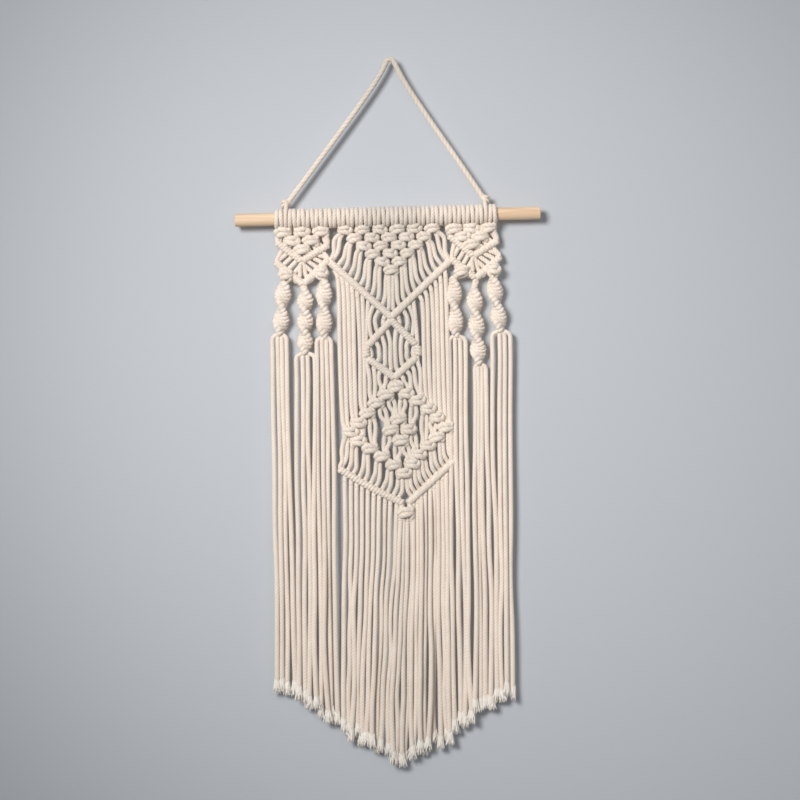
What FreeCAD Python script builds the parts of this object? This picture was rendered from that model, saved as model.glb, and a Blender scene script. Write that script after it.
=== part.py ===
"""Macrame wall hanging: a wooden dowel on a cord hanger, with 24 folded cotton cords knotted below it.

Frame: X along the dowel, +Z up, the front faces -Y. The origin is the underside of the hanger's top bend,
where it rests on its hook. The knotted panel hangs in the XZ plane. Lengths are in millimetres.
"""
import FreeCAD, Part
import math
import os

import Sketcher
from FreeCAD import Placement, Rotation, Vector

doc = FreeCAD.newDocument("macrame_wall_hanging")

# ---- driving dimensions -------------------------------------------------------------------------------

SIZES = {
    "dowel_length": 305.0,
    "dowel_dia": 12.7,
    "dowel_bevel": 0.4,
    "dowel_drop": 154.0,        # dowel axis below the hook
    "dowel_shift": -6.0,        # dowel centre beside the hook
    "panel_shift": -8.0,        # centre of the row of hitches beside the hook
    "hanger_dia": 5.0,
    "hook_radius": 4.0,
    "hanger_loop_dia": 3.3,
    "hanger_knot_rise": 13.5,   # hanger knot's centre above the dowel axis
    "hanger_knot_height": 9.0,
    "hanger_knot_width": 7.6,
    "wrap_dia": 3.2,
    "wrap_pitch": 4.44,
    "wrap_clearance": 0.2,
    "strand_dia": 4.1,
    "strand_pitch": 4.62,       # neighbouring strands of the centre panel
    "fringe_pitch": 4.87,       # neighbouring strands below one sinnet
    "knot_width": 14.0,
    "knot_height": 7.2,
    "knot_depth": 8.0,
    "knot_rounding": 2.4,
    "diamond_knot_width": 11.5,
    "band_height": 5.6,         # a row of double half hitches, across its length
    "band_depth": 7.6,
    "bulge_dia": 15.0,
    "neck_dia": 8.0,
    "hinge_gap": 5.5,           # fringe cords start this far below the knot they hang from
    "cord_gap": 0.5,            # between a cord's plain stretch and the knot it enters
    "fringe_side_drop": 622.0,  # cut edge of the fringe below the hook, at the sides
    "fringe_tip_drop": 701.0,   # and at its longest
    "fringe_half_width": 122.0,
    "fringe_tip_shift": -2.0,   # longest place beside the hook
}

sheet = doc.addObject("Spreadsheet::Sheet", "Sizes")
for row, (alias, value) in enumerate(SIZES.items(), start=1):
    sheet.set(f"A{row}", alias)
    sheet.set(f"B{row}", str(value))
    sheet.setAlias(f"B{row}", alias)
doc.recompute()


def size(alias):
    return float(sheet.get(alias))


DOWEL_Z = -size("dowel_drop")
HALF_BAND = size("band_height") / 2
GAP = size("cord_gap")

nodes = []          # the objects that are written out, each under its Label


def keep(obj, label):
    obj.Label = label
    nodes.append(obj)
    return obj


# ---- building blocks ----------------------------------------------------------------------------------

def origin_plane(body, role):
    return [f for f in body.Origin.OriginFeatures if f.Role == role][0]


def new_sketch(body, role):
    sketch = body.newObject("Sketcher::SketchObject", body.Name + "_sketch")
    sketch.AttachmentSupport = [(origin_plane(body, role), "")]
    sketch.MapMode = "FlatFace"
    return sketch


def add_polygon(sketch, points):
    """Closed outline of straight edges through points given as (across, up) in the sketch plane."""
    count = len(points)
    for i in range(count):
        start = Vector(*points[i], 0)
        end = Vector(*points[(i + 1) % count], 0)
        sketch.addGeometry(Part.LineSegment(start, end), False)
    for i in range(count):
        sketch.addConstraint(Sketcher.Constraint("Coincident", i, 2, (i + 1) % count, 1))


def group(parts, label):
    """Several separate solids of one kind, kept together under one name."""
    compound = doc.addObject("Part::Compound", label)
    compound.Links = parts
    return keep(compound, label)


def cord_stretch(x, z_top, z_bottom):
    """A plain vertical stretch of cord."""
    cord = doc.addObject("Part::Cylinder", "cord")
    cord.setExpression("Radius", "Sizes.strand_dia / 2")
    cord.Height = z_top - z_bottom
    cord.Placement = Placement(Vector(x, 0, z_bottom), Rotation())
    return cord


def knot_block(x, z, width="knot_width", height="knot_height"):
    """The outer shape of one knot, centred at (x, z)."""
    block = doc.addObject("Part::Box", "knot_core")
    block.setExpression("Length", "Sizes." + width)
    block.setExpression("Width", "Sizes.knot_depth")
    block.setExpression("Height", "Sizes." + height)
    corner = Vector(x - size(width) / 2, -size("knot_depth") / 2, z - size(height) / 2)
    block.Placement = Placement(corner, Rotation())
    rounded = doc.addObject("Part::Fillet", "knot")
    rounded.Base = block
    rounding = size("knot_rounding")
    rounded.Edges = [(edge, rounding, rounding) for edge in range(1, 13)]
    return rounded


def ring_round_dowel(x, cord_dia):
    """One turn of cord round the dowel."""
    ring = doc.addObject("Part::Torus", "ring")
    ring.setExpression("Radius1", f"Sizes.dowel_dia / 2 + Sizes.wrap_clearance + Sizes.{cord_dia} / 2")
    ring.setExpression("Radius2", f"Sizes.{cord_dia} / 2")
    ring.Placement = Placement(Vector(x, 0, DOWEL_Z), Rotation(Vector(0, 1, 0), 90))
    return ring


# What the plain stretches of cord run between: (group name, lowest x, highest x, top(x), bottom(x)).
obstacles = []


def add_knot_obstacle(name, x, z, width="knot_width", height="knot_height"):
    half = size(width) / 2 + size("strand_dia") / 2
    top = z + size(height) / 2
    bottom = z - size(height) / 2
    obstacles.append((name, x - half, x + half, lambda _x: top, lambda _x: bottom))


def knots(label, places, width="knot_width"):
    group([knot_block(x, z, width) for x, z in places], label)
    for x, z in places:
        add_knot_obstacle(label, x, z, width)


def chevron(label, left, tip, right):
    """A V (or, with its tip above its ends, an inverted V) of double half hitches: one bent band."""
    def rise(end):
        slope = math.atan2(abs(tip[1] - end[1]), abs(tip[0] - end[0]))
        return HALF_BAND / math.cos(slope)

    lift_left = rise(left)
    lift_right = rise(right)
    lift_tip = max(lift_left, lift_right)
    body = doc.addObject("PartDesign::Body", label)
    sketch = new_sketch(body, "XZ_Plane")
    add_polygon(sketch, [
        (left[0], left[1] - lift_left),
        (tip[0], tip[1] - lift_tip),
        (right[0], right[1] - lift_right),
        (right[0], right[1] + lift_right),
        (tip[0], tip[1] + lift_tip),
        (left[0], left[1] + lift_left),
    ])
    pad = body.newObject("PartDesign::Pad", label + "_pad")
    pad.Profile = sketch
    pad.SideType = "Symmetric"
    pad.setExpression("Length", "Sizes.band_depth")
    keep(body, label)

    def centre_line(x):
        if x < tip[0]:
            share = max(0.0, (x - left[0]) / (tip[0] - left[0]))
            return left[1] + share * (tip[1] - left[1])
        share = min(1.0, (x - tip[0]) / (right[0] - tip[0]))
        return tip[1] + share * (right[1] - tip[1])

    reach = size("strand_dia") / 2

    def top(x):
        return max(centre_line(x - reach), centre_line(x), centre_line(x + reach)) + lift_tip

    def bottom(x):
        return min(centre_line(x - reach), centre_line(x), centre_line(x + reach)) - lift_tip

    obstacles.append((label, left[0] - reach, right[0] + reach, top, bottom))
    return top, bottom


# ---- dowel and hanger ---------------------------------------------------------------------------------

dowel = doc.addObject("PartDesign::Body", "dowel")
dowel_sketch = new_sketch(dowel, "YZ_Plane")
dowel_sketch.addGeometry(Part.Circle(Vector(0, 0, 0), Vector(0, 0, 1), size("dowel_dia") / 2), False)
dowel_sketch.addConstraint(Sketcher.Constraint("Coincident", 0, 3, -1, 1))
dowel_sketch.addConstraint(Sketcher.Constraint("Diameter", 0, size("dowel_dia")))
dowel_sketch.setExpression("Constraints[1]", "Sizes.dowel_dia")
dowel_pad = dowel.newObject("PartDesign::Pad", "dowel_pad")
dowel_pad.Profile = dowel_sketch
dowel_pad.SideType = "Symmetric"
dowel_pad.setExpression("Length", "Sizes.dowel_length")
doc.recompute()
round_edges = [f"Edge{i}" for i, edge in enumerate(dowel_pad.Shape.Edges, start=1) if edge.isClosed()]
dowel_bevels = dowel.newObject("PartDesign::Chamfer", "dowel_bevels")
dowel_bevels.Base = (dowel_pad, round_edges)
dowel_bevels.setExpression("Size", "Sizes.dowel_bevel")
dowel.Placement = Placement(Vector(size("dowel_shift"), 0, DOWEL_Z), Rotation())
keep(dowel, "dowel")


def lane_x(lane):
    """Places of the cord turns along the dowel: 48 strands and the two hanger loops, 50 lanes."""
    return size("panel_shift") + (lane - 24.5) * size("wrap_pitch")


LEFT_LOOP_LANE = 2
RIGHT_LOOP_LANE = 47

for side, lane in (("left", LEFT_LOOP_LANE), ("right", RIGHT_LOOP_LANE)):
    loop = ring_round_dowel(lane_x(lane), "hanger_loop_dia")
    bead = doc.addObject("Part::Ellipsoid", "hanger_bead")
    bead.setExpression("Radius1", "Sizes.hanger_knot_height / 2")
    bead.setExpression("Radius2", "Sizes.hanger_knot_width / 2")
    bead.setExpression("Radius3", "Sizes.hanger_knot_width / 2")
    bead.Placement = Placement(Vector(lane_x(lane), 0, DOWEL_Z + size("hanger_knot_rise")), Rotation())
    hanger_knot = doc.addObject("Part::Fuse", "hanger_knot_" + side)
    hanger_knot.Base = loop
    hanger_knot.Tool = bead
    keep(hanger_knot, "hanger_knot_" + side)

# The hanger: two tight runs, tangent to the bend round the hook.
bend_radius = size("hook_radius") + size("hanger_dia") / 2
bend_centre = Vector(0, 0, -size("hook_radius"))
bend_top = Vector(0, 0, size("hanger_dia") / 2)
run_foot_z = DOWEL_Z + size("hanger_knot_rise")
left_foot = Vector(lane_x(LEFT_LOOP_LANE), 0, run_foot_z)
right_foot = Vector(lane_x(RIGHT_LOOP_LANE), 0, run_foot_z)


def tangent_point(foot, side):
    """Where a run from foot touches the bend; side is -1 for the left run and 1 for the right run."""
    away = foot - bend_centre
    toward_foot = math.atan2(away.z, away.x)
    turn = math.acos(bend_radius / away.Length)
    angle = toward_foot + side * turn
    return bend_centre + Vector(math.cos(angle), 0, math.sin(angle)) * bend_radius


left_touch = tangent_point(left_foot, -1)
right_touch = tangent_point(right_foot, 1)
left_run = Part.LineSegment(left_foot, left_touch).toShape()
bend = Part.Arc(left_touch, bend_top, right_touch).toShape()
right_run = Part.LineSegment(right_touch, right_foot).toShape()
hanger_path = Part.Wire([left_run, bend, right_run])
run_direction = (left_touch - left_foot).normalize()
hanger_section = Part.Wire([Part.Circle(left_foot, run_direction, size("hanger_dia") / 2).toShape()])
hanger_shape = hanger_path.makePipeShell([hanger_section], True, False)
hanger_cord = doc.addObject("Part::Feature", "hanger_cord")
hanger_cord.Shape = hanger_shape
keep(hanger_cord, "hanger_cord")
expected = math.pi * (size("hanger_dia") / 2) ** 2 * hanger_path.Length
print(f"hanger cord: length {hanger_path.Length:.1f} mm, bend radius {bend_radius:.1f} mm,",
      f"volume {hanger_shape.Volume:.0f} of {expected:.0f} mm3")

# ---- hitches on the dowel -----------------------------------------------------------------------------

STRANDS = 48
SIDE_STRANDS = 12       # strands 0-11 are the left panel, 36-47 the right one


def strand_lane(strand):
    if strand < LEFT_LOOP_LANE:
        return strand
    if strand < RIGHT_LOOP_LANE - 1:
        return strand + 1
    return strand + 2


def larks_heads(label, first, last):
    group([ring_round_dowel(lane_x(strand_lane(s)), "wrap_dia") for s in range(first, last)], label)


larks_heads("larks_heads_left", 0, SIDE_STRANDS)
larks_heads("larks_heads_centre", SIDE_STRANDS, STRANDS - SIDE_STRANDS)
larks_heads("larks_heads_right", STRANDS - SIDE_STRANDS, STRANDS)

# ---- knotted panels -----------------------------------------------------------------------------------

FIRST_ROW_Z = -167.6


def knot_triangle(label, centre_x, pitch, rows, row_step):
    """Rows of square knots, each row one knot shorter and half a pitch over from the one above."""
    places = []
    for row_number in range(rows):
        count = rows - row_number
        for k in range(count):
            x = centre_x + (k - (count - 1) / 2) * pitch
            places.append((x, FIRST_ROW_Z - row_number * row_step))
    knots(label, places)


LEFT_CENTRE = -92.2
RIGHT_CENTRE = 77.0
MIDDLE_CENTRE = -5.5
knot_triangle("square_knots_left", LEFT_CENTRE, 18.6, 3, 8.9)
knot_triangle("square_knots_right", RIGHT_CENTRE, 17.6, 3, 7.8)
knot_triangle("square_knots_centre", MIDDLE_CENTRE, 17.4, 6, 7.9)

chevron("upper_chevron_left", (-117.0, -181.5), (-92.5, -198.0), (-67.5, -182.5))
chevron("lower_chevron_left", (-118.0, -199.0), (-92.4, -219.5), (-67.5, -197.5))
chevron("upper_chevron_right", (56.0, -180.0), (77.5, -197.0), (102.0, -182.0))
chevron("lower_chevron_right", (57.0, -200.5), (80.0, -217.5), (105.0, -199.0))
chevron("long_chevron", (-63.0, -199.5), (MIDDLE_CENTRE, -253.0), (52.0, -201.5))

# Hexagon below the long chevron's tip.
chevron("hexagon_top", (-27.5, -283.0), (MIDDLE_CENTRE, -263.0), (17.0, -282.5))
chevron("hexagon_bottom", (-27.5, -298.0), (-3.5, -317.5), (17.0, -297.5))
HEXAGON_KNOT = {"left": (-32.5, -289.5), "right": (22.0, -289.0)}
for side, (x, z) in HEXAGON_KNOT.items():
    keep(knot_block(x, z, "knot_depth", "diamond_knot_width"), "hexagon_knot_" + side)
    add_knot_obstacle("hexagon_top", x, z, "knot_depth", "diamond_knot_width")

# Diamond of square knots, with a small diamond of four inside it.
DIAMOND_TOP_LEFT = (-12.0, -333.0)
DIAMOND_TOP_RIGHT = (8.0, -333.0)
DIAMOND_LEFT = (-48.0, -368.5)
DIAMOND_RIGHT = (44.0, -366.5)
DIAMOND_BOTTOM = (5.0, -411.0)


def between(start, end, steps, include_end):
    """Evenly spaced places from start towards end."""
    count = steps + 1 if include_end else steps
    places = []
    for k in range(count):
        share = k / steps
        places.append((start[0] + share * (end[0] - start[0]), start[1] + share * (end[1] - start[1])))
    return places


diamond_places = between(DIAMOND_TOP_LEFT, DIAMOND_LEFT, 4, False)
diamond_places += between(DIAMOND_LEFT, DIAMOND_BOTTOM, 5, True)
diamond_places += between(DIAMOND_TOP_RIGHT, DIAMOND_RIGHT, 4, False)
diamond_places += between(DIAMOND_RIGHT, DIAMOND_BOTTOM, 5, False)
knots("diamond_knots", diamond_places, "diamond_knot_width")
knots("inner_diamond_knots", [(0.0, -356.5), (-8.5, -367.2), (9.5, -367.2), (1.5, -378.0)],
      "diamond_knot_width")

bottom_chevron_top, bottom_chevron_bottom = chevron(
    "bottom_chevron", (-60.0, -407.0), (5.0, -443.5), (50.0, -403.5))
TIP_KNOT = (5.0, -452.5)
keep(knot_block(*TIP_KNOT), "tip_knot")

# ---- plain stretches of cord between the knots -----------------------------------------------------------

# Each stretch belongs to the group named after the knots it hangs from.
CORD_GROUP = {
    "square_knots_left": "drop_cords_left",
    "upper_chevron_left": "drop_cords_left",
    "square_knots_right": "drop_cords_right",
    "upper_chevron_right": "drop_cords_right",
    "square_knots_centre": "drop_cords_upper",
    "long_chevron": "drop_cords_middle",
    "hexagon_top": "hexagon_cords",
    "hexagon_bottom": "diamond_cords",
    "diamond_knots": "diamond_cords",
    "inner_diamond_knots": "diamond_cords",
}
SHORTEST_STRETCH = 3.0


def stretches(x):
    """The clear stretches of a vertical cord at x, from the topmost knot to the lowest one."""
    met = [(top(x), bottom(x), name) for name, low, high, top, bottom in obstacles if low < x < high]
    met.sort(reverse=True)
    clear = []
    if not met:
        return clear
    upper_name = met[0][2]
    upper_bottom = met[0][1]
    for top_z, bottom_z, name in met[1:]:
        z_top = upper_bottom - GAP
        z_bottom = top_z + GAP
        if z_top - z_bottom > SHORTEST_STRETCH:
            clear.append((upper_name, name, z_top, z_bottom))
        if bottom_z < upper_bottom:
            upper_name = name
            upper_bottom = bottom_z
    return clear


cords = {name: [] for name in CORD_GROUP.values()}
cords["drop_cords_lower"] = []


def lay_cords(centre_x, pitch, count):
    for k in range(count):
        x = centre_x + (k - (count - 1) / 2) * pitch
        for upper_name, lower_name, z_top, z_bottom in stretches(x):
            label = CORD_GROUP[upper_name]
            if lower_name == "bottom_chevron":
                label = "drop_cords_lower"
            cords[label].append(cord_stretch(x, z_top, z_bottom))


MIDDLE_LANES = STRANDS - 2 * SIDE_STRANDS
LANES_CENTRE = -6.0
RIGHT_LANES_CENTRE = 80.0
RIGHT_LANES_PITCH = 4.14
lay_cords(LEFT_CENTRE, size("wrap_pitch"), SIDE_STRANDS)
lay_cords(LANES_CENTRE, size("strand_pitch"), MIDDLE_LANES)
lay_cords(RIGHT_LANES_CENTRE, RIGHT_LANES_PITCH, SIDE_STRANDS)
for label, members in cords.items():
    group(members, label)

# ---- spiral sinnets and fringes ------------------------------------------------------------------------


FRINGE_CUT_CURVE = 1.15     # 1 would cut the fringe to straight slopes
CORDS_PER_SINNET = 4


def fringe_end_z(x):
    """The cut edge of the fringe: short at the sides, longest under the tip of the bottom chevron."""
    share = min(1.0, abs(x - size("fringe_tip_shift")) / size("fringe_half_width"))
    rise = (size("fringe_tip_drop") - size("fringe_side_drop")) * share ** FRINGE_CUT_CURVE
    return rise - size("fringe_tip_drop")


def spiral_sinnet(number, top, foot, bulges):
    """Half-knot spiral: a turned body that swells once in each half turn. Its own Z axis runs down it."""
    label = f"spiral_sinnet_{number}"
    length = math.hypot(foot[0] - top[0], foot[1] - top[1])
    neck = size("neck_dia") / 2
    swell = size("bulge_dia") / 2
    step = length / bulges
    body = doc.addObject("PartDesign::Body", label)
    sketch = new_sketch(body, "XZ_Plane")
    sketch.addGeometry(Part.LineSegment(Vector(0, 0, 0), Vector(neck, 0, 0)), False)
    for k in range(bulges):
        start = Vector(neck, -k * step, 0)
        middle = Vector(swell, -(k + 0.5) * step, 0)
        end = Vector(neck, -(k + 1) * step, 0)
        sketch.addGeometry(Part.Arc(start, middle, end), False)
    sketch.addGeometry(Part.LineSegment(Vector(neck, -length, 0), Vector(0, -length, 0)), False)
    sketch.addGeometry(Part.LineSegment(Vector(0, -length, 0), Vector(0, 0, 0)), False)
    turned = body.newObject("PartDesign::Revolution", label + "_turned")
    turned.Profile = sketch
    turned.ReferenceAxis = (sketch, ["V_Axis"])
    turned.Angle = 360.0
    lean = math.degrees(math.atan2(foot[0] - top[0], top[1] - foot[1]))
    body.Placement = Placement(Vector(top[0], 0, top[1]), Rotation(Vector(0, 1, 0), -lean))
    keep(body, label)


def fringe(number, foot_z, lane_centre):
    top_z = foot_z - size("hinge_gap")
    members = []
    for k in range(CORDS_PER_SINNET):
        x = lane_centre + (k - (CORDS_PER_SINNET - 1) / 2) * size("fringe_pitch")
        members.append(cord_stretch(x, top_z, fringe_end_z(x)))
    group(members, f"fringe_{number}")


# number: (top of the sinnet, foot of the sinnet, swellings, centre of its fringe)
SINNETS = {
    1: ((-111.5, -217.5), (-116.5, -268.0), 2, -116.0),
    2: ((-90.5, -227.5), (-92.3, -287.5), 3, -92.5),
    3: ((-71.4, -217.5), (-72.7, -272.0), 2, -73.4),
    4: ((57.6, -219.0), (59.3, -274.0), 2, 60.9),
    5: ((78.4, -230.0), (81.7, -302.5), 3, 82.4),
    6: ((97.7, -219.5), (103.9, -270.0), 2, 104.4),
}
for number, (top, foot, bulges, lane_centre) in SINNETS.items():
    spiral_sinnet(number, top, foot, bulges)
    fringe(number, foot[1], lane_centre)

# The centre fringe hangs from the bottom chevron and the tip knot.
FRINGE_CLEARANCE = 3.0
tip_half_width = size("knot_width") / 2 + size("strand_dia") / 2
tip_bottom = TIP_KNOT[1] - size("knot_height") / 2
centre_cords = []
for k in range(MIDDLE_LANES):
    x = LANES_CENTRE + (k - (MIDDLE_LANES - 1) / 2) * size("strand_pitch")
    start_z = bottom_chevron_bottom(x)
    if abs(x - TIP_KNOT[0]) < tip_half_width:
        start_z = tip_bottom
    centre_cords.append(cord_stretch(x, start_z - FRINGE_CLEARANCE, fringe_end_z(x)))
group(centre_cords, "centre_fringe")

# ---- build, test and write ------------------------------------------------------------------------------

doc.recompute()
for obj in doc.Objects:
    if "Invalid" in obj.State or "Error" in obj.State:
        raise SystemExit(f"{obj.Label} did not build: {obj.State}")
for obj in nodes:
    if obj.Shape.isNull() or not obj.Shape.isValid():
        raise SystemExit(f"{obj.Label} has no valid shape")
os.makedirs("parts", exist_ok=True)
for obj in nodes:
    obj.Shape.exportStep(f"parts/{obj.Label}.step")
solids = sum(len(obj.Shape.Solids) for obj in nodes)
print(f"{len(nodes)} nodes, {solids} solids")
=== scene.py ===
"""Macrame wall hanging: every cord is a twisted cotton cord that is knotted the way the real one is.

Routes are written in millimetres and turned into metres when a curve is made. X runs along the dowel, Z is
up and the front faces -Y. The origin is the underside of the hanger's top bend.
"""

import math

import bpy
import numpy as np
from mathutils import Matrix


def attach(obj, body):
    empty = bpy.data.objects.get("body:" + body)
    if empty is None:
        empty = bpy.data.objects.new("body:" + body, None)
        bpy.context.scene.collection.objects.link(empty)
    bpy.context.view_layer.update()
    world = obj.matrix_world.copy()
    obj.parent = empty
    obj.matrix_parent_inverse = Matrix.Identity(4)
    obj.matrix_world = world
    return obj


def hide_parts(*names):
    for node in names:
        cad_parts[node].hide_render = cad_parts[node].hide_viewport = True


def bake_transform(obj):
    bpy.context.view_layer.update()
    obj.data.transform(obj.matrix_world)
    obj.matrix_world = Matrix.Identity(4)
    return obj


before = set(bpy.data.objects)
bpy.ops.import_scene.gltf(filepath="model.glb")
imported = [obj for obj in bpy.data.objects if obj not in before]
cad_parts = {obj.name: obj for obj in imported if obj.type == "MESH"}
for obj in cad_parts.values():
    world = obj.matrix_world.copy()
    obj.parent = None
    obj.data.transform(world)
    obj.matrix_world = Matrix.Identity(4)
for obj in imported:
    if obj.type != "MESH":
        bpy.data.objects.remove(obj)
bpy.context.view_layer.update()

MM = 0.001
rng = np.random.default_rng(7)

# ---- the object's sizes ----------------------------------------

DOWEL_Z = -154.0            # the dowel's axis
PANEL_SHIFT = -8.0          # the panel's middle on the dowel
WRAP_PITCH = 4.44           # from lane to lane of cord on the dowel
WRAP_ORBIT = 8.2            # from the dowel's axis to the middle of a cord round it
STRANDS = 48
SIDE_STRANDS = 12           # strands 0-11 are the left panel, 36-47 the right one
LEFT_LOOP_LANE = 2          # the hanger's loops take these two lanes of the dowel
RIGHT_LOOP_LANE = 47
MIDDLE_LANE = 24.5
STEPS = 8                   # control points in one full turn of a cord

FREE = 2.3                  # cord radius on a free run
KNOTTED = 2.3               # cord radius in a knot
HITCHED = 2.2               # cord radius pulled tight round a leader
PLUMP = 2.7                 # cord radius where it bulges out of a knot
UNDER = 1.6                 # cord radius squeezed inside a knot
HANG_BACK = 2.2             # the panel hangs a little behind the dowel's axis
BACK_TOP_Z = DOWEL_Z - 7.0  # where it starts to move back, and over what height
BACK_FALL = 8.0
NURBS_SHRINK = 0.925        # a turn of 8 control points comes out this much smaller


def lane_x(lane):
    """X of a lane of cord on the dowel."""
    return PANEL_SHIFT + (lane - MIDDLE_LANE) * WRAP_PITCH


def strand_lane(s):
    """The lane of a strand, leaving the two lanes of the hanger's loops free."""
    if s < LEFT_LOOP_LANE:
        return s
    if s < RIGHT_LOOP_LANE - 1:
        return s + 1
    return s + 2


# ---- routes: control points of each cord ----------------------------------------

# The sections of a strand, from the dowel down: in a side panel, then in the centre panel.
KNOTS, SPIRAL, SIDE_FRINGE = 0, 1, 2
HEXAGON, DIAMOND, CENTRE_FRINGE = 1, 2, 3

routes = [[] for _ in range(STRANDS)]       # (x, y, z, cord radius, section)
section = [KNOTS] * STRANDS                 # which piece the cord's next points belong to


def begin_section(cords, number):
    """The next points of these cords belong to the piece with this number."""
    for s in cords:
        section[s] = number


def go(s, x, y, z, radius=FREE, loose=0.0):
    """Cord s passes near (x, y, z); loose is how far it may stray. Below the dowel it hangs a little back."""
    if loose:
        dx, dy, dz = rng.normal(0.0, loose, 3)
        x += dx
        y += dy
        z += dz
    back = HANG_BACK * min(1.0, max(0.0, (BACK_TOP_Z - z) / BACK_FALL))
    routes[s].append((x, y + back, z, radius, section[s]))


def larks_head(s, x, inward):
    """One side of a reversed lark's head: the bar is behind the dowel, the wrap shows in front."""
    orbit = WRAP_ORBIT / NURBS_SHRINK
    go(s, x + inward * WRAP_PITCH / 2, 10.9, DOWEL_Z - 2.0, UNDER)
    go(s, x - inward * 0.6, 10.6, DOWEL_Z - 3.0, UNDER)
    lean = rng.normal(0.0, 0.15)
    for degrees in range(45, 361, 45):
        angle = math.radians(degrees)
        aside = -inward * 0.7 * math.cos(angle / 2) + lean
        y = orbit * math.cos(angle)
        z = DOWEL_Z - orbit * math.sin(angle)
        go(s, x + aside, y, z, HITCHED)
    go(s, x + inward * 1.0, 8.3, DOWEL_Z - 4.0, UNDER)
    go(s, x + inward * 0.6, 5.6, DOWEL_Z - 8.6, UNDER)


def square_knot(cords, x, z, half=5.4, flip=False, scale=1.0, plump=PLUMP, front=0.0):
    """Square knot: the first cord crosses the two middle ones in front twice, the last one behind twice.

    half is its half width, flip gives its mirror image, and front is how far it stands forward.
    """
    left, inner_left, inner_right, right = cords
    over, under = (right, left) if flip else (left, right)
    hand = -1.0 if flip else 1.0
    tilt = rng.normal(0.0, 0.2)
    size = scale * (1.0 + rng.normal(0.0, 0.03))
    over_points = (
        (-0.80 * half, 0.6, 3.7), (-0.64 * half, -1.4, 3.2), (-0.42 * half, -3.8, 2.5),
        (0.1 * half, -4.6, 2.2),
        (0.62 * half, -3.4, 1.8), (1.04 * half, -0.4, 1.0), (1.1 * half, 0.4, 0.0), (0.92 * half, -1.8, -1.0),
        (0.45 * half, -4.0, -1.7), (-0.1 * half, -4.6, -2.2), (-0.55 * half, -3.2, -2.6),
        (-0.86 * half, -0.6, -3.1), (-0.82 * half, 0.4, -3.9),
    )
    under_points = (
        (0.84 * half, -0.6, 3.8), (0.98 * half, -2.4, 3.0), (0.98 * half, -2.6, 2.0),
        (0.72 * half, 1.2, 1.1),
        (0.2 * half, 3.8, 1.1), (-0.4 * half, 3.6, 1.3), (-0.8 * half, 0.8, 1.6), (-0.98 * half, -2.8, 1.4),
        (-1.15 * half, -2.4, -0.1), (-1.0 * half, 1.2, -1.3), (-0.4 * half, 3.6, -1.6),
        (0.2 * half, 3.8, -1.6),
        (0.8 * half, 1.2, -1.7), (1.0 * half, -2.2, -2.5), (0.88 * half, -0.6, -3.8),
    )
    for cord_points, s in ((over_points, over), (under_points, under)):
        for px, py, pz in cord_points:
            go(s, x + hand * px * size, py - front, z + (pz + tilt * px * hand * 0.3) * size, plump, 0.15)
    for s, aside in ((inner_left, -1.7), (inner_right, 1.7)):
        for share_x, py, pz in ((1.0, 0.0, 3.9), (0.9, 0.4, 1.4), (0.9, 0.4, -1.4), (1.0, 0.0, -3.9)):
            go(s, x + aside * share_x, py - front, z + pz * size, UNDER, 0.1)


HITCH_ORBIT = 1.75 / NURBS_SHRINK
HITCH_TURN = 2.6            # length of leader that one turn covers


def hitch(s, x, z, along, spacing):
    """Cord s turns round a leader that runs in the direction along, as often as fills spacing."""
    ux, uz = along
    nx, nz = (-uz, ux) if ux > 0 else (uz, -ux)
    turns = max(2, round(spacing / HITCH_TURN))
    pitch = spacing / turns
    go(s, x + ux * 0.6, 1.8, z + 6.2, FREE, 0.2)
    for step in range(STEPS * turns + 1):
        turn = step / STEPS
        shift = (turn - 0.5 * turns) * pitch
        lift = -HITCH_ORBIT * math.sin(2 * math.pi * turn)
        depth = 1.1 * HITCH_ORBIT * math.cos(2 * math.pi * turn)
        go(s, x + ux * shift + nx * lift, depth, z + uz * shift + nz * lift, HITCHED, 0.08)
    go(s, x + ux * pitch * 0.7, 1.6, z + uz * pitch * 0.7 - 4.6, FREE, 0.2)


def drop(s, lane, top_z, bottom_z, bulge=0.0):
    """The cord hangs in its lane between two knots; a slack cord bulges aside."""
    middle = 0.5 * (top_z + bottom_z)
    depth = rng.normal(0.0, 0.5)
    go(s, lane, depth, top_z, FREE, 0.15)
    go(s, lane + bulge, depth, middle, FREE, 0.25)
    go(s, lane, depth, bottom_z, FREE, 0.15)


def slant(s, end_x, end_z, bulge=0.0):
    """The cord hangs from where it is now to (end_x, end_z): it parts from its neighbour at once,
    falls nearly straight and turns aside at its foot."""
    x, _y, z, _radius, _section = routes[s][-1]
    depth = rng.normal(0.0, 0.5)
    for share, across in ((0.12, 0.35), (0.4, 0.5), (0.75, 0.62), (1.0, 1.0)):
        aside = bulge * math.sin(math.pi * share)
        go(s, x + across * (end_x - x) + aside, depth, z + share * (end_z - z), FREE, 0.12)


def hitch_row(leader, start, end, cords, sag=0.0):
    """A row of double half hitches on one leader from start to end. It may bow downwards by sag."""
    dx = end[0] - start[0]
    dz = end[1] - start[1]
    length = math.hypot(dx, dz)
    spacing = length / len(cords)
    go(leader, start[0] - dx / length, 0.0, start[1] - dz / length + 1.0, KNOTTED)
    for number, s in enumerate(cords):
        share = (number + 0.5) / len(cords)
        bow = sag * 4 * share * (1 - share)
        slope = sag * 4 * (1 - 2 * share)
        ux = dx
        uz = dz - slope
        norm = math.hypot(ux, uz)
        x = start[0] + share * dx
        z = start[1] + share * dz - bow
        hitch(s, x, z, (ux / norm, uz / norm), spacing)
        go(leader, x, 0.0, z, UNDER)
    go(leader, end[0], 0.0, end[1], UNDER)


def cross(behind, in_front, x, z):
    """Two leaders cross and swap sides; both were pointing down towards (x, z)."""
    go(behind, x, 1.2, z, HITCHED)
    go(in_front, x, -2.0, z, HITCHED)


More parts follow.
